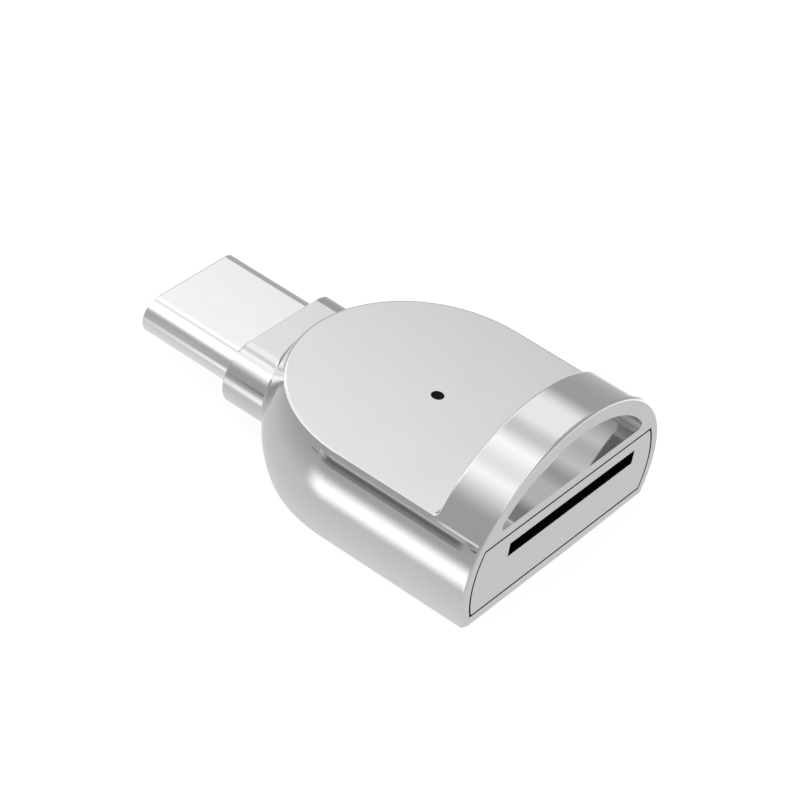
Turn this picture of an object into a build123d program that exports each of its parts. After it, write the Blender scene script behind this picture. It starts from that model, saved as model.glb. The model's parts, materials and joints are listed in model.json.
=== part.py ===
from build123d import *
import os

# Memory card reader: a die-cast metal body with a key loop over its deck, a reversible plug in front
# and a slot for a small memory card at the rear. Millimetres, +Y towards the plug, +Z up, and the
# origin under the middle of the reader. A station is a distance from the rear face.

# Body: an oval section cut flat at the base and at the deck, ending in a round nose
oval_half_width = 9.0
oval_half_height = 7.57
oval_centre = 2.7
deck_height = 5.95
nose_centre = 10.17
rim_round = 0.2
crisp_round = 0.19

# Key loop: an arch left standing over the rear of the deck
loop_depth = 3.2
loop_wall = 1.1
loop_corner = 0.3
loop_foot_round = 0.22

# Hollow of the body, and the rebate that the rear cap sits in
side_wall = 0.95
deck_wall = 0.9
floor_wall = 0.85
rebate_inset = 0.65
rebate_floor = 0.6
rebate_roof = 5.3

# Rear cap
cap_thickness = 1.0
cap_gap = 0.13
cap_corner = 0.15
slot_height = 0.97
slot_side_room = 0.34

# Collar round the plug
plug_axis = 2.51
collar_front = 20.78
collar_wall = 0.83
collar_root_round = 0.25
collar_bevel = 0.1

# Plug shell
plug_reach = 6.95
plug_width = 8.25
plug_height = 2.4
shell_wall = 0.25
shell_lip_round = 0.12
shell_lead_in = 0.08
shell_rear = 17.9
shell_fit = 0.05
tab_length = 1.3
tab_height = 1.2

# Plug insulators
insulator_fit = 0.02
insulator_split = 20.25
mouth_setback = 0.6
mouth_side_wall = 0.195
tongue_room_height = 0.84
groove_width = 0.33
groove_reach = 0.76

# Plug contacts: heights are measured from the plug's axis
contact_count = 12
contact_pitch = 0.5
contact_width = 0.25
contact_thickness = 0.12
contact_tail = 1.2
contact_lead = 0.2
contact_rise = 0.8
contact_beam = 0.62
contact_dip = 1.8
contact_touch = 0.4
contact_touch_setback = 1.6
contact_tip = 0.52
contact_tip_setback = 0.95

# Plug latch plate and grounding springs
latch_thickness = 0.16
latch_side_room = 0.235
latch_arm = 0.2
latch_hook = 0.16
latch_hook_length = 0.6
latch_hook_setback = 1.3
latch_base_station = 18.2
latch_base_depth = 1.0
spring_thickness = 0.08
spring_width = 5.6
spring_length = 3.6
spring_finger_count = 4
spring_finger_width = 0.7
spring_finger_drop = 0.36

# Circuit board, and the rails cast under its edges
board_thickness = 0.8
board_front = 17.4
board_edge_room = 0.3
board_rear_room = 0.2
tab_room = 0.15
rail_width = 1.2
rail_start = 3.0
rail_length = 7.0
rail_bite = 0.3

# Memory card socket
card_width = 11.0
card_side_room = 0.1
card_channel = 0.93
socket_offset = 0.56
socket_floor = 0.54
socket_side_room = 0.76
socket_end_wall = 0.5
socket_length = 11.0
socket_rear_room = 0.2
cover_thickness = 0.15
cover_fit = 0.03
window_width = 1.6
window_length = 5.0
window_pitch = 7.4
window_start = 3.0
tongue_width = 1.0
tongue_length = 4.5
card_contact_count = 8
card_contact_pitch = 1.1
card_contact_width = 0.6
card_contact_thickness = 0.12
card_contact_room = 0.1
card_contact_tail = 0.8
card_contact_flat = 1.6
card_contact_arm = 2.4
card_contact_lift = 0.3
card_contact_tip = 0.7
card_contact_dip = 0.15
detect_length = 4.0
detect_height = 0.6
detect_thickness = 0.12
detect_inset = 0.25
detect_hook = 0.6

# Parts on the board
chip_size = 5.0
chip_height = 0.85
chip_station = 8.5
crystal_length = 3.2
crystal_width = 2.5
crystal_base = 0.45
crystal_lid = 0.25
crystal_lid_inset = 0.2
crystal_edge_room = 1.65
crystal_station = 13.4
passive_length = 1.0
passive_width = 0.5
passive_height = 0.5
passive_band = 0.22
passive_band_proud = 0.02
passive_pitch = 0.9
passive_station = 13.0
capacitor_count = 4
capacitor_x = 0.0
resistor_count = 4
resistor_edge_room = 3.55
lamp_length = 1.6
lamp_width = 0.8
lamp_base = 0.25
lamp_lens = 0.9
lamp_height = 0.6
lamp_station = 14.4

# Light guide from the lamp to the hole in the deck
indicator_station = 9.53
indicator_radius = 0.39
indicator_fit = 0.01
guide_width = 1.2
guide_thickness = 0.4
guide_overhang = 0.7
guide_lamp_room = 0.1

# Sizes that follow from those above
reader_length = collar_front + plug_reach
oval_top = oval_centre + oval_half_height
hollow_half_width = oval_half_width - side_wall
hollow_roof = deck_height - deck_wall
board_top = plug_axis + board_thickness / 2
board_bottom = plug_axis - board_thickness / 2
board_rear = cap_thickness + board_rear_room
board_half_width = hollow_half_width - board_edge_room
card_floor = board_top + socket_floor
card_roof = card_floor + card_channel
channel_width = card_width + 2 * card_side_room
socket_height = socket_floor + card_channel
cover_width = 2 * (hollow_half_width - socket_side_room - socket_offset)
cover_inner_width = cover_width - 2 * cover_thickness
socket_width = cover_inner_width - 2 * cover_fit
socket_rear = cap_thickness + socket_rear_room
socket_front = socket_rear + socket_length
passage_width = plug_width + 2 * shell_fit
passage_height = plug_height + 2 * shell_fit
insulator_width = plug_width - 2 * shell_wall - 2 * insulator_fit
tongue_room_width = insulator_width - 2 * mouth_side_wall
latch_span = insulator_width - 2 * latch_side_room
insulator_height = plug_height - 2 * shell_wall - 2 * insulator_fit
insulator_top = plug_axis + insulator_height / 2
insulator_bottom = plug_axis - insulator_height / 2
mouth = reader_length - mouth_setback
tab_rear = shell_rear - tab_length
crystal_x = board_half_width - crystal_edge_room - crystal_length / 2
resistor_x = resistor_edge_room - board_half_width
forward = (0, 1, 0)
standing = (Align.CENTER, Align.MIN)
hanging = (Align.CENTER, Align.MAX)


def y_at(station):
    """Y of a distance from the rear face."""
    return station - reader_length / 2


def across(station):
    """Upright plane across the reader, with X to the right and height up."""
    return Plane.XZ.offset(-y_at(station))


def along(x):
    """Upright plane along the reader, with stations to the right and height up."""
    return Plane((x, y_at(0), 0), x_dir=(0, 1, 0), z_dir=(1, 0, 0))


def level(height):
    """Level plane at a height, with X to the right and stations along its other axis."""
    return Plane((0, y_at(0), height))


def row(count, pitch, centre=0.0):
    """Places of a row that is evenly spaced about a centre."""
    return [centre + pitch * (i - (count - 1) / 2) for i in range(count)]


def oval_between(inset, low, high):
    """The body's oval, moved in by an inset and cut flat at two heights."""
    with Locations((0, oval_centre)):
        Ellipse(oval_half_width - inset, oval_half_height - inset)
    with Locations((0, low)):
        Rectangle(2 * oval_half_width, high - low, align=standing, mode=Mode.INTERSECT)


def half_oval_between(inset, low, high):
    """The right half of the cut oval, ready to turn about the nose's axis."""
    oval_between(inset, low, high)
    with Locations((0, low)):
        Rectangle(oval_half_width, high - low, align=(Align.MAX, Align.MIN), mode=Mode.SUBTRACT)


def plug_outline(width, height, mode=Mode.ADD):
    """A slot shape with round ends, about the plug's axis."""
    with Locations((0, plug_axis)):
        SlotOverall(width, height, mode=mode)


def shell_section():
    """Section of the plug shell."""
    plug_outline(plug_width, plug_height)
    plug_outline(plug_width - 2 * shell_wall, plug_height - 2 * shell_wall, mode=Mode.SUBTRACT)


def contact_profiles(side):
    """Side views of a row of plug contacts, above the plug's axis for side 1 and below it for side -1."""
    rise_start = board_front + contact_lead
    touch = mouth - contact_touch_setback
    with BuildSketch(*[along(x) for x in row(contact_count, contact_pitch)]) as profiles:
        with BuildLine():
            Polyline(
                (board_front - contact_tail, plug_axis + side * board_thickness / 2),
                (rise_start, plug_axis + side * board_thickness / 2),
                (rise_start + contact_rise, plug_axis + side * contact_beam),
                (touch - contact_dip, plug_axis + side * contact_beam),
                (touch, plug_axis + side * contact_touch),
                (mouth - contact_tip_setback, plug_axis + side * contact_tip),
            )
            outer = Side.LEFT if side > 0 else Side.RIGHT
            offset(amount=contact_thickness, kind=Kind.INTERSECTION, side=outer)
        make_face()
    return profiles.sketch


def spring_plate(outer):
    """Outline of a grounding spring's plate, on the insulator's face at a height."""
    with BuildSketch(level(outer)) as plate:
        with Locations((0, mouth + spring_thickness)):
            Rectangle(spring_width, spring_length, align=hanging)
    return plate.sketch


def spring_fingers(outer, hang):
    """Outline of the fingers that a grounding spring bends over the plug's mouth."""
    places = row(spring_finger_count, spring_width / spring_finger_count)
    with BuildSketch(across(mouth)) as fingers:
        with Locations(*[(x, outer) for x in places]):
            Rectangle(spring_finger_width, spring_finger_drop, align=(Align.CENTER, hang))
    return fingers.sketch


def passive_bodies(places):
    """Outlines of a row of chip components under the board."""
    with BuildSketch(level(board_bottom)) as bodies:
        with Locations(*[(x, passive_station) for x in places]):
            Rectangle(passive_width, passive_length)
    return bodies.sketch


def passive_bands(places):
    """Outlines of the metal bands at the ends of a row of chip components."""
    band_offset = (passive_length - passive_band) / 2
    with BuildSketch(level(board_bottom)) as bands:
        with Locations(*[(x, passive_station + end * band_offset) for x in places for end in (-1, 1)]):
            Rectangle(passive_width + 2 * passive_band_proud, passive_band)
    return bands.sketch


nose_axis = Axis((0, y_at(nose_centre), 0), (0, 0, 1))
card_contact_places = row(card_contact_count, card_contact_pitch, socket_offset)

# Housing
with BuildPart() as housing:
    # Oval body and round nose, carried below the base until the base is cut
    with BuildSketch(across(0)):
        oval_between(0, -oval_half_height, oval_top)
    extrude(amount=nose_centre, dir=forward)
    with BuildSketch(across(loop_depth)):
        with Locations((0, deck_height)):
            Rectangle(2 * oval_half_width, oval_half_height, align=standing)
    extrude(amount=nose_centre, dir=forward, mode=Mode.SUBTRACT)
    with BuildSketch(across(nose_centre)):
        half_oval_between(0, -oval_half_height, deck_height)
    revolve(axis=nose_axis, revolution_arc=180)
    # Hollow curve where the arch of the loop stands on the deck
    fillet(housing.edges().filter_by(Axis.X).sort_by(Axis.Z)[-1], loop_foot_round)
    # Collar, with a hollow curve at its root
    with BuildSketch(across(nose_centre)):
        plug_outline(passage_width + 2 * collar_wall, passage_height + 2 * collar_wall)
    extrude(amount=collar_front - nose_centre, dir=forward)
    collar_rim = housing.faces().sort_by(Axis.Y)[-1].edges()
    collar_root = (housing.edges(Select.LAST) - collar_rim).filter_by(Axis.Y, reverse=True)
    fillet(collar_root, collar_root_round)
    chamfer(housing.faces().sort_by(Axis.Y)[-1].edges(), collar_bevel)
    # Flat base
    with BuildSketch(level(0)):
        Rectangle(2 * reader_length, 2 * reader_length)
    extrude(amount=-oval_half_height, mode=Mode.SUBTRACT)
    # Crisp round along the deck, up the foot and over the front of the arch
    deck = housing.faces().filter_by(Axis.Z).sort_by(Axis.Z)[-1]
    foot = housing.faces().filter_by(GeomType.CYLINDER).sort_by(Axis.Z)[-1]
    arch_front = housing.faces().filter_by(Axis.Y).sort_by(Axis.Y)[1]
    rim_edges = deck.edges() + foot.edges() + arch_front.edges()
    fillet(rim_edges.filter_by(Axis.X, reverse=True), crisp_round)
    # Softer round along the rear rim and the base
    rear_rim = housing.faces().filter_by(Axis.Y).sort_by(Axis.Y)[0].edges()
    base_rim = housing.faces().filter_by(Axis.Z).sort_by(Axis.Z)[0].edges()
    fillet(rear_rim + (base_rim - rear_rim), rim_round)
    # Loop opening, level with the deck
    with BuildSketch(across(0)) as loop_opening:
        oval_between(loop_wall, deck_height, oval_top)
        fillet(loop_opening.vertices().group_by(Axis.Y)[0], loop_corner)
    extrude(amount=loop_depth + loop_foot_round, dir=forward, mode=Mode.SUBTRACT)
    # Hollow, and the rebate of the rear cap
    with BuildSketch(across(cap_thickness)):
        oval_between(side_wall, floor_wall, hollow_roof)
    extrude(amount=nose_centre - cap_thickness, dir=forward, mode=Mode.SUBTRACT)
    with BuildSketch(across(nose_centre)):
        half_oval_between(side_wall, floor_wall, hollow_roof)
    revolve(axis=nose_axis, revolution_arc=180, mode=Mode.SUBTRACT)
    with BuildSketch(across(0)):
        oval_between(rebate_inset, rebate_floor, rebate_roof)
    extrude(amount=cap_thickness, dir=forward, mode=Mode.SUBTRACT)
    # Passage for the plug, and the indicator's hole in the deck
    with BuildSketch(across(nose_centre)):
        plug_outline(passage_width, passage_height)
    extrude(amount=collar_front - nose_centre, dir=forward, mode=Mode.SUBTRACT)
    with BuildSketch(level(hollow_roof)):
        with Locations((0, indicator_station)):
            Circle(indicator_radius)
    extrude(amount=deck_wall, mode=Mode.SUBTRACT)
    # Rails under the board's edges
    with BuildSketch(across(rail_start)):
        oval_between(side_wall - rail_bite, floor_wall - rail_bite, board_bottom)
        with Locations((0, plug_axis)):
            Rectangle(2 * (hollow_half_width - rail_width), 2 * oval_half_height, mode=Mode.SUBTRACT)
    extrude(amount=rail_length, dir=forward)

# Rear cap with the card slot
with BuildPart() as rear_cap:
    with BuildSketch(across(0)) as cap_outline:
        oval_between(rebate_inset + cap_gap, rebate_floor + cap_gap, rebate_roof - cap_gap)
        cap_corners = cap_outline.vertices().group_by(Axis.Y)
        fillet(cap_corners[0] + cap_corners[-1], cap_corner)
        with Locations((socket_offset, (card_floor + card_roof) / 2)):
            Rectangle(card_width + 2 * slot_side_room, slot_height, mode=Mode.SUBTRACT)
    extrude(amount=cap_thickness, dir=forward)

# Plug shell, with two tabs that reach back beside the board
with BuildPart() as plug_shell:
    with BuildSketch(across(shell_rear)):
        shell_section()
    extrude(amount=reader_length - shell_rear, dir=forward)
    lip = plug_shell.faces().sort_by(Axis.Y)[-1]
    fillet(lip.outer_wire().edges(), shell_lip_round)
    lip = plug_shell.faces().sort_by(Axis.Y)[-1]
    chamfer(lip.inner_wires()[0].edges(), shell_lead_in)
    with BuildSketch(across(tab_rear)):
        shell_section()
        with Locations((0, plug_axis)):
            Rectangle(plug_width, tab_height, mode=Mode.INTERSECT)
    extrude(amount=tab_length, dir=forward)

# Plug contacts
with BuildPart() as plug_contacts_top:
    extrude(contact_profiles(1), amount=contact_width / 2, both=True)

with BuildPart() as plug_contacts_bottom:
    extrude(contact_profiles(-1), amount=contact_width / 2, both=True)

# Plug latch plate: a bar across the plug with a hooked arm on each side
with BuildPart() as plug_latch_plate:
    hook_station = mouth - latch_hook_setback
    arm_length = hook_station + latch_hook_length / 2 - latch_base_station
    with BuildSketch(level(plug_axis - latch_thickness / 2)):
        with Locations((0, latch_base_station)):
            Rectangle(latch_span, latch_base_depth, align=standing)
        with Locations(*[(x, latch_base_station) for x in row(2, latch_span - latch_arm)]):
            Rectangle(latch_arm, arm_length, align=standing)
        with Locations(*[(x, hook_station) for x in row(2, latch_span - 2 * latch_arm - latch_hook)]):
            Rectangle(latch_hook, latch_hook_length)
    extrude(amount=latch_thickness)

# Grounding springs
with BuildPart() as plug_spring_top:
    extrude(spring_plate(insulator_top), amount=-spring_thickness)
    extrude(spring_fingers(insulator_top, Align.MAX), amount=spring_thickness, dir=forward)

with BuildPart() as plug_spring_bottom:
    extrude(spring_plate(insulator_bottom), amount=spring_thickness)
    extrude(spring_fingers(insulator_bottom, Align.MIN), amount=spring_thickness, dir=forward)

# Rear insulator, moulded round the contacts and the latch plate
with BuildPart() as plug_rear_insulator:
    with BuildSketch(across(board_front)):
        plug_outline(insulator_width, insulator_height)
    extrude(amount=insulator_split - board_front, dir=forward)
    add(plug_contacts_top.part, mode=Mode.SUBTRACT)
    add(plug_contacts_bottom.part, mode=Mode.SUBTRACT)
    add(plug_latch_plate.part, mode=Mode.SUBTRACT)

# Front insulator, with a room for the socket's tongue and a groove for each contact
with BuildPart() as plug_front_insulator:
    with BuildSketch(across(insulator_split)):
        plug_outline(insulator_width, insulator_height)
        with Locations((0, plug_axis)):
            Rectangle(tongue_room_width, tongue_room_height, mode=Mode.SUBTRACT)
        with Locations(*[(x, plug_axis) for x in row(contact_count, contact_pitch)]):
            Rectangle(groove_width, 2 * groove_reach, mode=Mode.SUBTRACT)
    extrude(amount=mouth - insulator_split, dir=forward)
    add(plug_spring_top.part, mode=Mode.SUBTRACT)
    add(plug_spring_bottom.part, mode=Mode.SUBTRACT)

# Circuit board, rounded to follow the nose and notched for the shell's tabs
with BuildPart() as circuit_board:
    with BuildSketch(level(board_bottom)):
        with Locations((0, board_rear)):
            Rectangle(2 * board_half_width, nose_centre - board_rear, align=standing)
        with Locations((0, nose_centre)):
            Circle(board_half_width)
        with Locations((0, board_front)):
            Rectangle(2 * board_half_width, board_half_width, align=standing, mode=Mode.SUBTRACT)
        notch_width = 2 * (shell_wall + tab_room)
        with Locations(*[(x, tab_rear - tab_room) for x in row(2, plug_width - 2 * shell_wall)]):
            Rectangle(notch_width, board_half_width, align=standing, mode=Mode.SUBTRACT)
    extrude(amount=board_thickness)

# Parts under the board
with BuildPart() as controller_chip:
    with BuildSketch(level(board_bottom)):
        with Locations((0, chip_station)):
            Rectangle(chip_size, chip_size)
    extrude(amount=-chip_height)

with BuildPart() as crystal:
    with BuildSketch(level(board_bottom)):
        with Locations((crystal_x, crystal_station)):
            Rectangle(crystal_length, crystal_width)
    extrude(amount=-crystal_base)
    with BuildSketch(level(board_bottom - crystal_base)):
        with Locations((crystal_x, crystal_station)):
            Rectangle(crystal_length - 2 * crystal_lid_inset, crystal_width - 2 * crystal_lid_inset)
    extrude(amount=-crystal_lid)

with BuildPart() as capacitors:
    capacitor_places = row(capacitor_count, passive_pitch, capacitor_x)
    extrude(passive_bodies(capacitor_places), amount=-passive_height)
    extrude(passive_bands(capacitor_places), amount=-passive_height - passive_band_proud)

with BuildPart() as resistors:
    resistor_places = row(resistor_count, passive_pitch, resistor_x)
    extrude(passive_bodies(resistor_places), amount=-passive_height)
    extrude(passive_bands(resistor_places), amount=-passive_height - passive_band_proud)

# Lamp on top of the board, and the guide that leads its light to the deck
with BuildPart() as indicator_lamp:
    with BuildSketch(level(board_top)):
        with Locations((0, lamp_station)):
            Rectangle(lamp_width, lamp_length)
    extrude(amount=lamp_base)
    with BuildSketch(level(board_top)):
        with Locations((0, lamp_station)):
            Rectangle(lamp_width, lamp_lens)
    extrude(amount=lamp_height)

with BuildPart() as light_guide:
    with BuildSketch(level(hollow_roof)):
        with Locations((0, indicator_station - guide_overhang)):
            strip_length = lamp_station - indicator_station + 2 * guide_overhang
            Rectangle(guide_width, strip_length, align=standing)
    extrude(amount=-guide_thickness)
    with BuildSketch(level(board_top + lamp_height + guide_lamp_room)):
        with Locations((0, lamp_station)):
            Rectangle(guide_width, 2 * guide_overhang)
    extrude(amount=hollow_roof - board_top - lamp_height - guide_lamp_room)
    with BuildSketch(level(hollow_roof)):
        with Locations((0, indicator_station)):
            Circle(indicator_radius - indicator_fit)
    extrude(amount=deck_wall)

# Memory card socket: a moulded tray, a folded cover and sprung contacts
with BuildPart() as socket_base:
    spring_reach = card_contact_flat + card_contact_arm + card_contact_tip + card_contact_room
    with BuildSketch(level(board_top)):
        with Locations((socket_offset, socket_rear)):
            Rectangle(socket_width, socket_length, align=standing)
    extrude(amount=socket_height)
    with BuildSketch(level(card_floor)):
        with Locations((socket_offset, socket_rear)):
            Rectangle(channel_width, socket_length - socket_end_wall, align=standing)
    extrude(amount=card_channel, mode=Mode.SUBTRACT)
    opening_width = card_contact_width + 2 * card_contact_room
    with BuildSketch(level(board_top)):
        with Locations(*[(x, socket_front) for x in card_contact_places]):
            Rectangle(opening_width, spring_reach, align=hanging)
    extrude(amount=socket_floor, mode=Mode.SUBTRACT)

with BuildPart() as socket_cover:
    with BuildSketch(across(socket_rear)):
        with Locations((socket_offset, board_top)):
            Rectangle(cover_width, socket_height + cover_thickness, align=standing)
            Rectangle(cover_inner_width, socket_height, align=standing, mode=Mode.SUBTRACT)
    extrude(amount=socket_length, dir=forward)
    # Two windows, each with a tongue that holds the card down
    with BuildSketch(level(card_roof)):
        with Locations(*[(x, socket_rear + window_start) for x in row(2, window_pitch, socket_offset)]):
            Rectangle(window_width, window_length, align=standing)
            Rectangle(tongue_width, tongue_length, align=standing, mode=Mode.SUBTRACT)
    extrude(amount=cover_thickness, mode=Mode.SUBTRACT)

with BuildPart() as socket_contacts:
    bend = socket_front - card_contact_flat
    arm_end = bend - card_contact_arm
    with BuildSketch(*[along(x) for x in card_contact_places]):
        with BuildLine():
            Polyline(
                (socket_front + card_contact_tail, board_top),
                (bend, board_top),
                (arm_end, card_floor + card_contact_lift),
                (arm_end - card_contact_tip, card_floor + card_contact_dip),
            )
            offset(amount=card_contact_thickness, kind=Kind.INTERSECTION, side=Side.RIGHT)
        make_face()
    extrude(amount=card_contact_width / 2, both=True)

with BuildPart() as card_detect_spring:
    leaf_x = socket_offset - channel_width / 2 + detect_inset
    leaf_end = socket_front - socket_end_wall
    with BuildSketch(level(card_floor)):
        with Locations((leaf_x, leaf_end)):
            Rectangle(detect_thickness, detect_length, align=(Align.MIN, Align.MAX))
        with Locations((leaf_x, leaf_end - detect_length)):
            Rectangle(detect_hook, detect_thickness, align=(Align.MIN, Align.MIN))
    extrude(amount=detect_height)

# One file for each piece
pieces = {
    "housing": housing,
    "rear_cap": rear_cap,
    "plug_shell": plug_shell,
    "plug_front_insulator": plug_front_insulator,
    "plug_rear_insulator": plug_rear_insulator,
    "plug_contacts_top": plug_contacts_top,
    "plug_contacts_bottom": plug_contacts_bottom,
    "plug_latch_plate": plug_latch_plate,
    "plug_spring_top": plug_spring_top,
    "plug_spring_bottom": plug_spring_bottom,
    "circuit_board": circuit_board,
    "controller_chip": controller_chip,
    "crystal": crystal,
    "capacitors": capacitors,
    "resistors": resistors,
    "indicator_lamp": indicator_lamp,
    "light_guide": light_guide,
    "socket_base": socket_base,
    "socket_cover": socket_cover,
    "socket_contacts": socket_contacts,
    "card_detect_spring": card_detect_spring,
}
os.makedirs("parts", exist_ok=True)
for name, piece in pieces.items():
    piece.part.label = name
    export_step(piece.part, f"parts/{name}.step")
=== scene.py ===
import json
import math

import bpy
import numpy as np
from mathutils import Matrix, Vector


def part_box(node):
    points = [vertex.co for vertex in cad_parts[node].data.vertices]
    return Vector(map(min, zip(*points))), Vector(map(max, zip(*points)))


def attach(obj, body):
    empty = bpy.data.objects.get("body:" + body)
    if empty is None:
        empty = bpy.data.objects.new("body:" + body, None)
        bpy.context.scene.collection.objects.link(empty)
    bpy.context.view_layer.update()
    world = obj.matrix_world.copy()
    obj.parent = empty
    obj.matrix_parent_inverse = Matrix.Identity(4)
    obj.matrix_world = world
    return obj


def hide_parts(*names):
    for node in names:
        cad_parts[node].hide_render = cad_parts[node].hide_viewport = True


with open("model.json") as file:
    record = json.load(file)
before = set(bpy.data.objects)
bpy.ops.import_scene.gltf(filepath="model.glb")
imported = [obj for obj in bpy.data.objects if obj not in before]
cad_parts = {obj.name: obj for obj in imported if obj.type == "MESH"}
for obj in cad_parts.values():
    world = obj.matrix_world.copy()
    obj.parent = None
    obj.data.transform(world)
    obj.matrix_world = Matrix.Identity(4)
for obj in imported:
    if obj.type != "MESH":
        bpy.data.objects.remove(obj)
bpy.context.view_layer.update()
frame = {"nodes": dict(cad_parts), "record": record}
nodes = frame["nodes"]
scene = bpy.context.scene
scene.view_settings.view_transform = "Standard"

# Lengths are metres
MM = 0.001

# Camera: the photograph's view, 800 pixels square
CAMERA_AZIMUTH = math.radians(-57.764)
CAMERA_ELEVATION = math.radians(38.553)
CAMERA_ROLL = math.radians(10.488)
CAMERA_PLACE = Vector((-0.124546, -0.080487, 0.121464))
FOCAL_PIXELS = 3330
IMAGE_PIXELS = 800

# Studio dome. Each stop is a height on the dome, from -1 straight down to 1 straight up, and the light
# there. The dome is tipped to its right
DOME_STOPS = (
    (-1.0, 0.82),
    (-0.8, 0.74),
    (-0.6, 0.685),
    (-0.4, 0.655),
    (-0.2, 0.555),
    (0.0, 0.47),
    (0.2, 0.437),
    (1.0, 0.437),
)
DOME_TIP = math.radians(6)

# Strip lights that run along the reader, out on the dome. An angle turns about the Y axis, from +X over
# the top: centre, half width and soft edge in degrees. A strip comes in while the direction's Y part goes
# through a range. The last value is the light that it adds
ALL_ALONG = (-3, -2)
DOME_STRIPS = {
    "over_right": (56, 16, 18, (-0.6, 1.3), 1.22),
    "over_top": (89.5, 9, 23, ALL_ALONG, 0.83),
    "over_left": (116, 12, 38, ALL_ALONG, 0.90),
    "front_left": (124, 16, 34, (0.40, 0.45), 0.44),
    "front_right": (73, 6, 8, (0.40, 0.45), 0.10),
    "low_right": (336, 8, 14, ALL_ALONG, 0.70),
}

# A film beside the reader, part of a round tunnel along its left side. Only reflections show it
FILM_RADIUS = 90 * MM
FILM_RISE = 1 * MM
FILM_TURNS = (156, 230)
FILM_ENDS = (-130 * MM, 140 * MM)
FILM_SIDES = 48
# Strip lights on the film, laid out like those on the dome, but each starts and ends at places along Y, in
# millimetres
FILM_STRIPS = {
    "low_left": (204.9, 9.5, 16, (-78, -40), (39, 76), 0.83),
    "lip": (171.3, 0.9, 1.2, (24.0, 24.6), (46, 54), 0.11),
    "lip_tip": (174.0, 1.4, 1.0, (57, 59), (64, 67), 0.20),
    "lip_foot": (167.8, 1.1, 0.8, (22.6, 23.0), (26.4, 28.0), 0.47),
}
# Black flags on the film. The last value is the share of the light that a flag lets through
FILM_FLAGS = {
    "flag": (175.2, 2.3, 1.4, (24.4, 24.9), (46, 57), 0.36),
    "flag_edge": (179.2, 1.7, 1.2, (24.4, 24.9), (50, 62), 0.56),
    "flag_foot": (170.4, 1.3, 0.6, (23.5, 23.7), (24.0, 24.3), 0.62),
    "flag_clip": (173.8, 0.8, 0.3, (22.75, 22.85), (23.5, 23.6), 0.02),
    "flag_wire": (178.9, 0.5, 0.3, (66, 68), (84, 88), 0.35),
}

# Floor and backdrop: a light table inside a round white wall
FLOOR_CLOUDS = 80 * MM
FLOOR_RADIUS = 0.7
WALL_HEIGHT = 0.9
WALL_SIDES = 96
TABLE_GLOW = 0.86

# The body's oval and the axis that its nose turns about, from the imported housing
body_low, body_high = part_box("housing")
OVAL_HALF_WIDTH = body_high.x
OVAL_HALF_HEIGHT = 7.57 * MM
OVAL_CENTRE = body_high.z - OVAL_HALF_HEIGHT
NOSE_STATION = 10.17 * MM
NOSE_CENTRE = body_low.y + NOSE_STATION

# The deck, the front of the loop's arch, the collar, and the rounds of the body's edges
plug_low, plug_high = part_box("plug_shell")
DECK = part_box("light_guide")[1].z
LOOP_DEPTH = 3.2 * MM
LOOP_FRONT = body_low.y + LOOP_DEPTH
PLUG_AXIS = (plug_low.z + plug_high.z) / 2
COLLAR_STEP = 0.88 * MM
COLLAR_RADIUS = plug_high.z - PLUG_AXIS + COLLAR_STEP
COLLAR_FLAT = plug_high.x - (plug_high.z - PLUG_AXIS)
CRISP_ROUND = 0.19 * MM
RIM_ROUND = 0.2 * MM
ROOT_ROUND = 0.25 * MM
FOOT_ROUND = 0.22 * MM

# Details of the finishes
NOISE_LOW = 0.3
NOISE_HIGH = 0.7
WEAVE_PITCH = 0.5 * MM
TRACK_PITCH = 1.0 * MM
MASK_THICKNESS = 0.02 * MM
DOT_RADIUS = 0.25 * MM
DOT_INSET = 0.8 * MM
END_BAND = 0.22 * MM
CRYSTAL_LID = 0.25 * MM
LAMP_BASE = 0.25 * MM
SEAM = 0.002 * MM
# Whether the two materials of a small component are metal
NO_METAL = (0, 0)
FIRST_METAL = (1, 0)
SECOND_METAL = (0, 1)

# Finer meshes: an edge is split while a normal turns by more than this along it
MOST_TURN = math.radians(6)
MOST_SPLITS = 5
# Normals that differ by more than this meet at a sharp edge
SHARP_TURN = math.radians(4)
# Normals that differ by less than this are the same
SAME_TURN = math.radians(0.5)
# How near a point and its normal are to a curve's where the point is on the curve
CURVE_REACH = 0.008 * MM
CURVE_TURN = math.radians(25)
# Steps that bring a point onto the oval, and a ball to its place between two surfaces
OVAL_STEPS = 2
BALL_STEPS = 6
# Keeps a division by a length from failing
TINY = 1e-30
# Triangles that take the place of one with 0, 1, 2 or 3 split edges. Corners are 0 to 2, and 3 to 5 are
# the middles of the edges that start at them
SPLIT_PATTERNS = (
    ((0, 1, 2),),
    ((0, 3, 2), (3, 1, 2)),
    ((0, 3, 4), (3, 1, 4), (0, 4, 2)),
    ((0, 3, 5), (3, 1, 4), (5, 4, 2), (3, 4, 5)),
)


def make_camera():
    """Places the camera where the photograph was taken from."""
    data = bpy.data.cameras.new("camera")
    data.sensor_width = 36
    data.lens = FOCAL_PIXELS * data.sensor_width / IMAGE_PIXELS
    data.clip_start = 0.01
    data.clip_end = 10
    camera = bpy.data.objects.new("camera", data)
    scene.collection.objects.link(camera)
    azimuth, elevation, roll = CAMERA_AZIMUTH, CAMERA_ELEVATION, CAMERA_ROLL
    level = Vector((math.cos(azimuth), math.sin(azimuth), 0))
    back = Vector((
        math.sin(azimuth) * math.cos(elevation),
        -math.cos(azimuth) * math.cos(elevation),
        math.sin(elevation),
    ))
    up = back.cross(level)
    right = math.cos(roll) * level + math.sin(roll) * up
    rotation = Matrix((right, back.cross(right), back)).transposed()
    camera.matrix_world = Matrix.Translation(CAMERA_PLACE) @ rotation.to_4x4()
    scene.camera = camera


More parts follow.
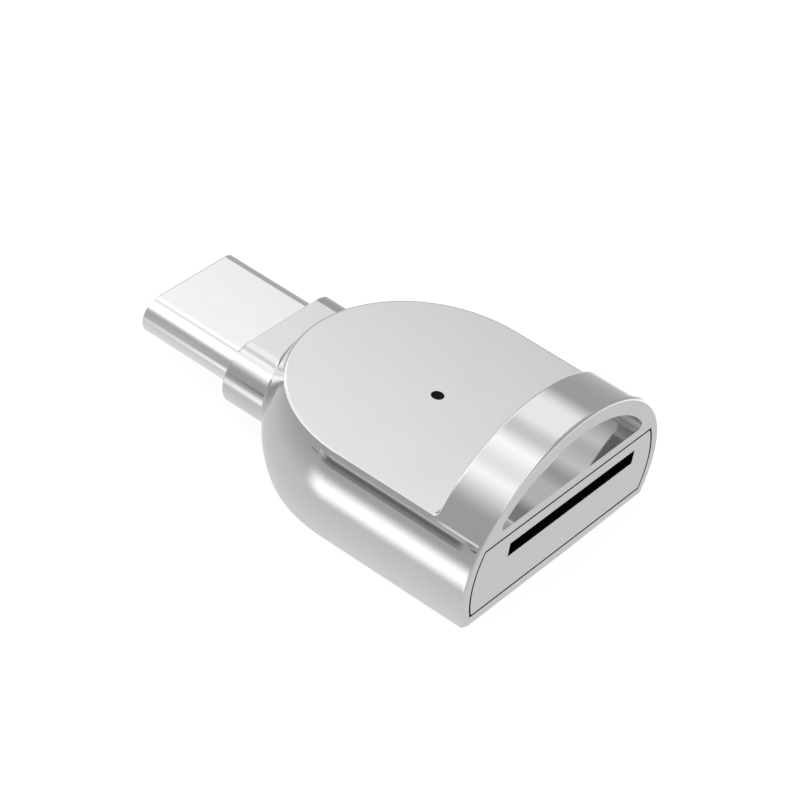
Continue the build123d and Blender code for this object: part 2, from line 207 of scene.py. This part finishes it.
class Graph:
    """A node tree with short ways to add and join nodes."""

    def __init__(self, tree):
        self.tree = tree

    def node(self, kind, *sources, **settings):
        """Adds a node, sets its settings and feeds its first inputs, each from a socket or a value."""
        made = self.tree.nodes.new(kind)
        for key, value in settings.items():
            setattr(made, key, value)
        for socket, source in zip(made.inputs, sources):
            self.feed(socket, source)
        return made

    def feed(self, socket, source):
        """Feeds an input from a socket, or sets its value."""
        if isinstance(source, bpy.types.NodeSocket):
            self.tree.links.new(source, socket)
        else:
            socket.default_value = source

    def math(self, operation, *values):
        """Adds a math node and returns its result."""
        return self.node("ShaderNodeMath", *values, operation=operation).outputs[0]

    def fade(self, value, start, end, low=0.0, high=1.0, kind="SMOOTHSTEP"):
        """Goes from low to high while a value goes from start to end."""
        made = self.node("ShaderNodeMapRange", value, start, end, low, high, interpolation_type=kind)
        return made.outputs[0]

    def ramp(self, value, stops):
        """Colours along a value from 0 to 1. Each stop is a place and a grey or a colour."""
        made = self.node("ShaderNodeValToRGB", value)
        elements = made.color_ramp.elements
        while len(elements) < len(stops):
            elements.new(1.0)
        for element, (place, colour) in zip(elements, stops):
            element.position = place
            element.color = (*colour, 1) if isinstance(colour, tuple) else (colour, colour, colour, 1)
        return made.outputs[0]

    def mix(self, share, first, second):
        """Mixes two colours."""
        made = self.node("ShaderNodeMix", data_type="RGBA")
        self.feed(made.inputs["Factor"], share)
        self.feed(made.inputs["A"], first)
        self.feed(made.inputs["B"], second)
        return made.outputs["Result"]


def add_strip(graph, turn, run, centre, half_width, edge, start, end=None):
    """1 inside a strip and 0 outside it. The turn lies across the strip, and the run along it."""
    away = graph.math("SUBTRACT", turn, math.radians(centre))
    wrapped = graph.math("ABSOLUTE", graph.math("WRAP", away, math.pi, -math.pi))
    inner, outer = math.radians(half_width - edge / 2), math.radians(half_width + edge / 2)
    inside = graph.math("MULTIPLY", graph.fade(wrapped, inner, outer, 1, 0), graph.fade(run, *start))
    if end:
        inside = graph.math("MULTIPLY", inside, graph.fade(run, *end, 1, 0))
    return inside


def make_world():
    """Lights the scene from a dome with soft strip lights."""
    world = bpy.data.worlds.new("studio")
    scene.world = world
    world.use_nodes = True
    graph = Graph(world.node_tree)
    direction = graph.node("ShaderNodeTexCoord").outputs["Generated"]
    x, y, z = graph.node("ShaderNodeSeparateXYZ", direction).outputs
    axis = (-math.sin(DOME_TIP), 0, math.cos(DOME_TIP))
    height = graph.node("ShaderNodeVectorMath", direction, axis, operation="DOT_PRODUCT").outputs["Value"]
    place = graph.fade(height, -1, 1, kind="LINEAR")
    light = graph.ramp(place, [((stop + 1) / 2, level) for stop, level in DOME_STOPS])
    turn = graph.math("ARCTAN2", z, x)
    for *layout, strength in DOME_STRIPS.values():
        light = graph.math("MULTIPLY_ADD", add_strip(graph, turn, y, *layout), strength, light)
    graph.feed(world.node_tree.nodes["Background"].inputs["Color"], light)


def make_film():
    """Hangs the film with its strip lights and flags beside the reader."""
    axis_x, axis_z = body_low.x, OVAL_CENTRE + FILM_RISE
    turns = [math.radians(turn) for turn in np.linspace(*FILM_TURNS, FILM_SIDES + 1)]
    points = [
        (axis_x + FILM_RADIUS * math.cos(turn), end, axis_z + FILM_RADIUS * math.sin(turn))
        for end in FILM_ENDS
        for turn in turns
    ]
    faces = [(i, i + 1, i + len(turns) + 1, i + len(turns)) for i in range(FILM_SIDES)]
    film = add_object("film", points, faces)
    material = bpy.data.materials.new("film")
    material.use_nodes = True
    graph = Graph(material.node_tree)
    place = graph.node("ShaderNodeTexCoord").outputs["Object"]
    x, y, z = graph.node("ShaderNodeSeparateXYZ", place).outputs
    turn = graph.math("ARCTAN2", graph.math("SUBTRACT", z, axis_z), graph.math("SUBTRACT", x, axis_x))
    run = graph.math("DIVIDE", y, MM)
    glow = 0
    for *layout, strength in FILM_STRIPS.values():
        glow = graph.math("MULTIPLY_ADD", add_strip(graph, turn, run, *layout), strength, glow)
    passed = 1
    for *layout, share in FILM_FLAGS.values():
        shade = graph.fade(add_strip(graph, turn, run, *layout), 0, 1, 1, share, kind="LINEAR")
        passed = graph.math("MULTIPLY", shade, passed)
    clear = graph.node("ShaderNodeBsdfTransparent", passed).outputs[0]
    lamp = graph.node("ShaderNodeEmission", (1, 1, 1, 1), glow).outputs[0]
    both = graph.node("ShaderNodeAddShader", clear, lamp).outputs[0]
    graph.feed(graph.tree.nodes["Material Output"].inputs["Surface"], both)
    film.data.materials.append(material)
    film.visible_camera = False
    film.visible_diffuse = False
    film.visible_transmission = False
    film.visible_shadow = False


def add_object(name, points, faces):
    """Adds a mesh object."""
    mesh = bpy.data.meshes.new(name)
    mesh.from_pydata(points, [], faces)
    made = bpy.data.objects.new(name, mesh)
    scene.collection.objects.link(made)
    return made


def ring(radius, height):
    """Points of a level ring."""
    turns = [2 * math.pi * i / WALL_SIDES for i in range(WALL_SIDES)]
    return [(radius * math.cos(turn), radius * math.sin(turn), height) for turn in turns]


def make_stage():
    """Makes the light table and the wall round it."""
    floor = add_object("floor", ring(FLOOR_RADIUS, 0), [range(WALL_SIDES)])
    table = Finish("light_table", Roughness=0.8)
    table.shader.inputs["Emission Color"].default_value = (1, 1, 1, 1)
    table.shader.inputs["Emission Strength"].default_value = TABLE_GLOW
    table.colour(table.noise(FLOOR_CLOUDS), 0.20, 0.22)
    floor.data.materials.append(table.material)
    floor.visible_glossy = False
    floor.visible_shadow = False

    points = ring(FLOOR_RADIUS, 0) + ring(FLOOR_RADIUS, WALL_HEIGHT)
    following = [(i + 1) % WALL_SIDES for i in range(WALL_SIDES)]
    faces = [(i, WALL_SIDES + i, WALL_SIDES + j, j) for i, j in enumerate(following)]
    wall = add_object("wall", points, faces)
    paper = Finish("white_wall", Roughness=0.8)
    paper.shader.inputs["Emission Color"].default_value = (1, 1, 1, 1)
    paper.shader.inputs["Emission Strength"].default_value = 1
    paper.shader.inputs["Base Color"].default_value = (0, 0, 0, 1)
    wall.data.materials.append(paper.material)
    wall.visible_diffuse = False
    wall.visible_glossy = False
    wall.visible_transmission = False
    wall.visible_shadow = False


class Finish(Graph):
    """A material, with textures laid out in the object's own coordinates."""

    def __init__(self, name, **settings):
        self.material = bpy.data.materials.new(name)
        self.material.use_nodes = True
        super().__init__(self.material.node_tree)
        self.shader = self.tree.nodes["Principled BSDF"]
        self.place = self.node("ShaderNodeTexCoord").outputs["Object"]
        for socket, value in settings.items():
            self.shader.inputs[socket].default_value = value

    def noise(self, grain, stretch=(1, 1, 1), detail=2):
        """Noise from 0 to 1 with grains of a size, drawn out along the axes by the stretch."""
        scale = [1 / (grain * share) for share in stretch]
        point = self.node("ShaderNodeVectorMath", self.place, scale, operation="MULTIPLY").outputs[0]
        made = self.node("ShaderNodeTexNoise", point)
        made.inputs["Scale"].default_value = 1
        made.inputs["Detail"].default_value = detail
        return made.outputs["Fac"]

    def tones(self, value, low, high):
        """Colours from low to high over the usual range of a noise."""
        return self.ramp(value, ((NOISE_LOW, low), (NOISE_HIGH, high)))

    def colour(self, value, low, high):
        """Colours the surface from low to high over the usual range of a noise."""
        self.feed(self.shader.inputs["Base Color"], self.tones(value, low, high))

    def rough(self, value, low, high):
        """Roughness from low to high over the usual range of a noise."""
        self.feed(self.shader.inputs["Roughness"], self.fade(value, NOISE_LOW, NOISE_HIGH, low, high))

    def axes(self):
        """The object's own X, Y and Z."""
        return self.node("ShaderNodeSeparateXYZ", self.place).outputs

    def wave(self, value, pitch):
        """A wave from 0 to 1 with a pitch."""
        turn = self.math("MULTIPLY", value, 2 * math.pi / pitch)
        return self.math("MULTIPLY_ADD", self.math("SINE", turn), 0.5, 0.5)

    def grain(self, size, roughness, depth):
        """A fine grain in the roughness and the surface."""
        speckle = self.noise(size, detail=4)
        self.rough(speckle, roughness * 0.9, roughness * 1.1)
        self.bump(speckle, depth)

    def bump(self, height, depth):
        """Raises the surface by up to a depth."""
        made = self.node("ShaderNodeBump", 1.0, depth)
        self.feed(made.inputs["Height"], height)
        self.feed(self.shader.inputs["Normal"], made.outputs[0])


def plated(name, tone, roughness):
    """Bright plating: faint clouding, and a hint of orange peel."""
    clouds, mottle, peel, peel_depth = 3 * MM, 1.2 * MM, 0.6 * MM, 0.0001 * MM
    clouding = 0.006
    finish = Finish(name, Metallic=1)
    finish.colour(finish.noise(clouds), tone - clouding, tone + clouding)
    finish.rough(finish.noise(mottle, detail=4), roughness * 0.8, roughness * 1.2)
    finish.bump(finish.noise(peel), peel_depth)
    return finish.material


def drawn(name, low, high, roughness, stretch, depth=0.0003 * MM):
    """Drawn or rolled sheet metal: fine lines along one axis."""
    line_width, clouds = 0.04 * MM, 1.5 * MM
    finish = Finish(name, Metallic=1)
    lines = finish.noise(line_width, stretch, detail=3)
    finish.colour(finish.noise(clouds), low, high)
    finish.rough(lines, roughness * 0.8, roughness * 1.2)
    finish.bump(lines, depth)
    return finish.material


def moulded(name, low, high, roughness, specular):
    """Moulded plastic with a fine grain."""
    clouds, grain, grain_depth = 0.8 * MM, 0.05 * MM, 0.002 * MM
    finish = Finish(name)
    finish.shader.inputs["Specular IOR Level"].default_value = specular
    finish.colour(finish.noise(clouds), low, high)
    finish.grain(grain, roughness, grain_depth)
    return finish.material


def laminate(name, node_name):
    """Circuit board: green mask over glass weave, with tracks under it and tan edges."""
    bare_mask, track_mask = (0.012, 0.055, 0.028, 1), (0.022, 0.085, 0.042, 1)
    resin, fibre = (0.30, 0.25, 0.13), (0.38, 0.32, 0.18)
    mottle, relief = 0.3 * MM, 0.004 * MM
    finish = Finish(name)
    low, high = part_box(node_name)
    x, y, z = finish.axes()
    weave = finish.math("MULTIPLY", finish.wave(x, WEAVE_PITCH), finish.wave(y, WEAVE_PITCH))
    tracks = finish.fade(finish.wave(x, TRACK_PITCH), 0.70, 0.75)
    mask = finish.mix(tracks, bare_mask, track_mask)
    glass = finish.ramp(weave, ((0, resin), (1, fibre)))
    half = (high.z - low.z) / 2
    height = finish.math("ABSOLUTE", finish.math("SUBTRACT", z, low.z + half))
    on_face = finish.fade(height, half - MASK_THICKNESS, half - MASK_THICKNESS / 2)
    finish.feed(finish.shader.inputs["Base Color"], finish.mix(on_face, glass, mask))
    finish.rough(finish.noise(mottle), 0.28, 0.40)
    finish.bump(finish.math("ADD", weave, tracks), relief)
    return finish.material


def chip(name, node_name):
    """Black chip resin with a pale printed dot at one corner."""
    ink = (0.30, 0.30, 0.29, 1)
    clouds, grain, grain_depth = 0.3 * MM, 0.06 * MM, 0.004 * MM
    finish = Finish(name)
    low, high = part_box(node_name)
    spot = (low.x + DOT_INSET, high.y - DOT_INSET, low.z)
    away = finish.node("ShaderNodeVectorMath", finish.place, spot, operation="DISTANCE").outputs["Value"]
    printed = finish.fade(away, DOT_RADIUS * 0.95, DOT_RADIUS, 1, 0)
    resin = finish.tones(finish.noise(clouds), 0.012, 0.020)
    finish.feed(finish.shader.inputs["Base Color"], finish.mix(printed, resin, ink))
    finish.grain(grain, 0.55, grain_depth)
    return finish.material


def two_part(name, share_at, first, second, metals, roughness):
    """A small component of two materials, such as a body and its tinned ends, told apart by a share."""
    clouds, grain, grain_depth = 0.4 * MM, 0.05 * MM, 0.002 * MM
    finish = Finish(name)
    share = share_at(finish)
    cloud = finish.noise(clouds)
    tones = finish.tones(cloud, *first), finish.tones(cloud, *second)
    finish.feed(finish.shader.inputs["Base Color"], finish.mix(share, *tones))
    if metals != NO_METAL:
        finish.feed(finish.shader.inputs["Metallic"], finish.fade(share, 0, 1, *metals, kind="LINEAR"))
    finish.grain(grain, roughness, grain_depth)
    return finish.material


def past_height(height):
    """A share that is 1 above a height."""
    return lambda finish: finish.fade(finish.axes()[2], height - SEAM, height + SEAM)


def end_bands(node_name):
    """A share that is 1 on the bands at a node's front and rear ends."""
    low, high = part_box(node_name)
    middle, half = (low.y + high.y) / 2, (high.y - low.y) / 2

    def share_at(finish):
        away = finish.math("ABSOLUTE", finish.math("SUBTRACT", finish.axes()[1], middle))
        return finish.fade(away, half - END_BAND - SEAM, half - END_BAND)

    return share_at


def make_finishes():
    """A material for each of the record's slots."""
    along_y, along_x = (1, 40, 1), (40, 1, 1)
    lid_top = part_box("crystal")[0].z + CRYSTAL_LID
    lens_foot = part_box("indicator_lamp")[0].z + LAMP_BASE
    tin = (0.60, 0.72)
    ceramic = ((0.22, 0.12, 0.06), (0.30, 0.18, 0.09))
    lens = ((0.80, 0.72, 0.42), (0.86, 0.80, 0.52))
    return {
        "plated_body": plated("plated_body", 0.74, 0.035),
        "plated_cap": plated("plated_cap", 0.74, 0.05),
        "plug_steel": drawn("plug_steel", 0.865, 0.885, 0.07, along_y, 0.00005 * MM),
        "black_insulator": moulded("black_insulator", 0.008, 0.014, 0.45, 0.35),
        "gold_contacts": drawn("gold_contacts", (0.86, 0.60, 0.22), (0.93, 0.68, 0.29), 0.2, along_y),
        "spring_steel": drawn("spring_steel", 0.50, 0.58, 0.25, along_y),
        "board_laminate": laminate("board_laminate", "circuit_board"),
        "chip_resin": chip("chip_resin", "controller_chip"),
        "crystal_can": two_part("crystal_can", past_height(lid_top), tin, (0.05, 0.07), FIRST_METAL, 0.3),
        "capacitor_ceramic": two_part(
            "capacitor_ceramic", end_bands("capacitors"), ceramic, tin, SECOND_METAL, 0.4
        ),
        "resistor_film": two_part(
            "resistor_film", end_bands("resistors"), (0.015, 0.03), tin, SECOND_METAL, 0.35
        ),
        "lamp_resin": two_part("lamp_resin", past_height(lens_foot), (0.75, 0.80), lens, NO_METAL, 0.2),
        "smoked_guide": moulded("smoked_guide", 0.003, 0.005, 0.35, 0.05),
        "socket_resin": moulded("socket_resin", (0.004, 0.008, 0.007), (0.006, 0.013, 0.011), 0.5, 0.2),
        "socket_steel": drawn("socket_steel", 0.48, 0.55, 0.3, along_x),
    }


def unit(vectors):
    """Vectors with a length of 1."""
    return vectors / np.maximum(np.linalg.norm(vectors, axis=-1, keepdims=True), TINY)


def along(vectors, others):
    """Dot products, kept as columns."""
    return np.sum(vectors * others, axis=-1, keepdims=True)


def plane(axis, place, facing):
    """A function that gives the distance from a plane and its normal, at points."""
    normal = np.zeros(3)
    normal[axis] = facing

    def surface(points):
        away = facing * (points[..., axis:axis + 1] - place)
        return away, np.broadcast_to(normal, points.shape)

    return surface


def oval(points):
    """The distance from the body's oval and its round nose, and their normals."""
    arm = points - (0, NOSE_CENTRE, OVAL_CENTRE)
    arm[..., 1] = np.maximum(arm[..., 1], 0)
    slope = arm / (OVAL_HALF_WIDTH**2, OVAL_HALF_WIDTH**2, OVAL_HALF_HEIGHT**2)
    reach = np.sqrt(along(arm, slope))
    steep = np.linalg.norm(slope, axis=-1, keepdims=True)
    return (reach - 1) * reach / steep, slope / steep


def collar(points):
    """The distance from the collar and its normals."""
    arm = points - (0, 0, PLUG_AXIS)
    arm[..., 0] -= np.clip(arm[..., 0], -COLLAR_FLAT, COLLAR_FLAT)
    arm[..., 1] = 0
    away = np.linalg.norm(arm, axis=-1, keepdims=True)
    return away - COLLAR_RADIUS, arm / away


def foot(points):
    """The distance from the hollow curve at the loop's foot, and its normals."""
    arm = (0, LOOP_FRONT + FOOT_ROUND, DECK + FOOT_ROUND) - points
    arm[..., 0] = 0
    away = np.linalg.norm(arm, axis=-1, keepdims=True)
    return FOOT_ROUND - away, arm / away


def onto_oval(points):
    """Points near the oval, moved onto it, and their normals."""
    for _ in range(OVAL_STEPS):
        away, normals = oval(points)
        points = points - away * normals
    return points, normals


def onto_round(first, second, radius):
    """A function that moves points onto the round that a ball leaves as it rolls along two surfaces.

    The ball is outside the part for a positive radius, as in a hollow curve, and inside it for a
    negative one.
    """

    def moved(points):
        one, other = first(points)[1], second(points)[1]
        centre = points + radius * unit(one + other)
        for _ in range(BALL_STEPS):
            (one_away, one), (other_away, other) = first(centre), second(centre)
            centre = centre + blend(one, other, radius - one_away, radius - other_away)
        arm = (centre - points) * math.copysign(1, radius)
        shares = shares_of(one, other, along(arm, one), along(arm, other))
        normals = unit(sum(np.maximum(share, 0) * side for share, side in zip(shares, (one, other))))
        return centre - radius * normals, normals

    return moved


def shares_of(one, other, along_one, along_other):
    """The shares of two directions in a vector, from its lengths along them."""
    lean = along(one, other)
    spread = 1 - lean**2
    return (along_one - lean * along_other) / spread, (along_other - lean * along_one) / spread


def blend(one, other, along_one, along_other):
    """The vector in the plane of two directions that has these lengths along them."""
    share, other_share = shares_of(one, other, along_one, along_other)
    return share * one + other_share * other


def make_curves():
    """The body's curved surfaces: the oval, and the rounds along its edges."""
    deck, base = plane(2, DECK, 1), plane(2, 0, -1)
    rear, arch_front = plane(1, body_low.y, -1), plane(1, LOOP_FRONT, 1)
    return [
        onto_oval,
        onto_round(oval, deck, -CRISP_ROUND),
        onto_round(oval, arch_front, -CRISP_ROUND),
        onto_round(oval, foot, -CRISP_ROUND),
        onto_round(oval, rear, -RIM_ROUND),
        onto_round(oval, base, -RIM_ROUND),
        onto_round(oval, collar, ROOT_ROUND),
    ]


def curve_of(curves, points, normals):
    """The number of the curve that each triangle lies on, or -1."""
    found = np.full(len(points), -1)
    for number, moved in enumerate(curves):
        places, true_normals = moved(points)
        near = np.linalg.norm(places - points, axis=-1) < CURVE_REACH
        facing = along(normals, true_normals)[..., 0] > math.cos(CURVE_TURN)
        found[(near & facing).all(1) & (found < 0)] = number
    return found


def edge_sides(triangles, normals):
    """The mesh's edges, the edge and end normals of each triangle's side, and two sides of each edge."""
    corners = np.array(((0, 1), (1, 2), (2, 0)))
    ends = triangles[:, corners].reshape(-1, 2)
    end_normals = normals[:, corners].reshape(-1, 2, 3)
    flipped = ends[:, 0] > ends[:, 1]
    ends[flipped] = ends[flipped, ::-1]
    end_normals[flipped] = end_normals[flipped, ::-1]
    edges, edge_of = np.unique(ends, axis=0, return_inverse=True)
    edge_of = edge_of.reshape(-1)
    first = np.unique(edge_of, return_index=True)[1]
    last = len(edge_of) - 1 - np.unique(edge_of[::-1], return_index=True)[1]
    return edges, edge_of, end_normals, first, last


def split_once(points, triangles, normals, curve, curves):
    """Splits the edges along which a normal turns too far, and puts the new points on the true curves."""
    edges, edge_of, end_normals, first, last = edge_sides(triangles, normals)

    # An edge is split if a normal turns along it on either side
    level = along(end_normals[:, 0], end_normals[:, 1])[:, 0]
    split = np.zeros(len(edges), bool)
    split[edge_of[level < math.cos(MOST_TURN)]] = True

    # The curve of an edge leaves each end square to the normals on both its sides
    start, end = points[edges[:, 0]], points[edges[:, 1]]
    chord = end - start
    leave = []
    for i in (0, 1):
        one, other = end_normals[first, i], end_normals[last, i]
        across = other - along(other, one) * one
        sharp = np.linalg.norm(across, axis=-1, keepdims=True) > math.sin(SHARP_TURN)
        across = unit(across) * sharp
        leave.append(chord - along(chord, one) * one - along(chord, across) * across)
    middles = (start + end) / 2 + (leave[0] - leave[1]) / 8

    # Normals in the middle of each triangle's edges
    total = end_normals[:, 0] + end_normals[:, 1]
    chords = chord[edge_of]
    lean = along(chords, total) / np.maximum(along(chords, chords), TINY)
    middle_normals = unit(total - 2 * lean * chords).reshape(-1, 3, 3)

    number = np.full(len(edges), -1)
    number[split] = len(points) + np.arange(split.sum())
    points = np.concatenate((points, middles[split]))
    numbers = np.concatenate((triangles, number[edge_of].reshape(-1, 3)), 1)
    all_normals = np.concatenate((normals, middle_normals), 1)

    # Each triangle is turned so that its split edges come first, and then takes its pattern
    cut = split[edge_of].reshape(-1, 3)
    count = cut.sum(1)
    roll = np.select((count == 1, count == 2), (cut.argmax(1), (cut.argmin(1) + 1) % 3), 0)
    order = (roll[:, None] + np.arange(3)) % 3
    order = np.concatenate((order, order + 3), 1)
    numbers = np.take_along_axis(numbers, order, 1)
    all_normals = np.take_along_axis(all_normals, order[..., None], 1)
    chosen = [(count == i, pattern) for i, patterns in enumerate(SPLIT_PATTERNS) for pattern in patterns]
    triangles = np.concatenate([numbers[which][:, pattern] for which, pattern in chosen])
    normals = np.concatenate([all_normals[which][:, pattern] for which, pattern in chosen])
    curve = np.concatenate([curve[which] for which, pattern in chosen])

    # What lies on a known curve gets its true place and normals
    for number, moved in enumerate(curves):
        spots = np.unique(triangles[curve == number])
        points[spots] = moved(points[spots])[0]
    for number, moved in enumerate(curves):
        normals[curve == number] = moved(points[triangles[curve == number]])[1]
    return points, triangles, normals, curve, split.any()


def keep_normals(mesh, triangles, normals):
    """Gives a mesh its normals, and marks the edges sharp where the normals of the two sides differ."""
    edge_of, end_normals, first, last = edge_sides(triangles, normals)[1:]
    level = along(end_normals[first], end_normals[last]).min(axis=(1, 2))
    mesh_edges = np.empty(len(mesh.loops), int)
    mesh.loops.foreach_get("edge_index", mesh_edges)
    sharp = np.zeros(len(mesh.edges), bool)
    sharp[mesh_edges] = (level < math.cos(SAME_TURN))[edge_of]
    marks = mesh.attributes.new("sharp_edge", "BOOLEAN", "EDGE")
    marks.data.foreach_set("value", sharp)
    kept = mesh.attributes.new("custom_normal", "FLOAT_VECTOR", "CORNER")
    kept.data.foreach_set("vector", normals.ravel())
    mesh.update()


def refined(name, node_name, slot, curves=()):
    """A finer mesh in place of a node: its packed corners and normals, with smooth curves between them."""
    mesh = nodes[node_name].data
    places = np.empty(3 * len(mesh.vertices))
    mesh.vertices.foreach_get("co", places)
    corners = np.empty(len(mesh.loops), int)
    mesh.loops.foreach_get("vertex_index", corners)
    normals = np.empty(3 * len(mesh.loops))
    mesh.corner_normals.foreach_get("vector", normals)
    points, spot = np.unique(places.reshape(-1, 3), axis=0, return_inverse=True)
    triangles = spot.reshape(-1)[corners].reshape(-1, 3)
    normals = unit(normals.reshape(-1, 3, 3))
    with np.errstate(all="ignore"):
        curve = curve_of(curves, points[triangles], normals)
    for _ in range(MOST_SPLITS):
        points, triangles, normals, curve, more = split_once(points, triangles, normals, curve, curves)
        if not more:
            break
    points = np.clip(points, *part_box(node_name))
    made = add_object(name, points.tolist(), triangles.tolist())
    made.data.shade_smooth()
    keep_normals(made.data, triangles, normals)
    made.data.materials.append(finishes[slot])
    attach(made, "root")
    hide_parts(node_name)


make_camera()
make_world()
make_film()
make_stage()
finishes = make_finishes()
for part in frame["record"]["subparts"]:
    mesh = nodes[part["node"]].data
    mesh.materials.clear()
    mesh.materials.append(finishes[part["material_slot"]])
refined("housing_casting", "housing", "plated_body", make_curves())
refined("plug_tube", "plug_shell", "plug_steel")
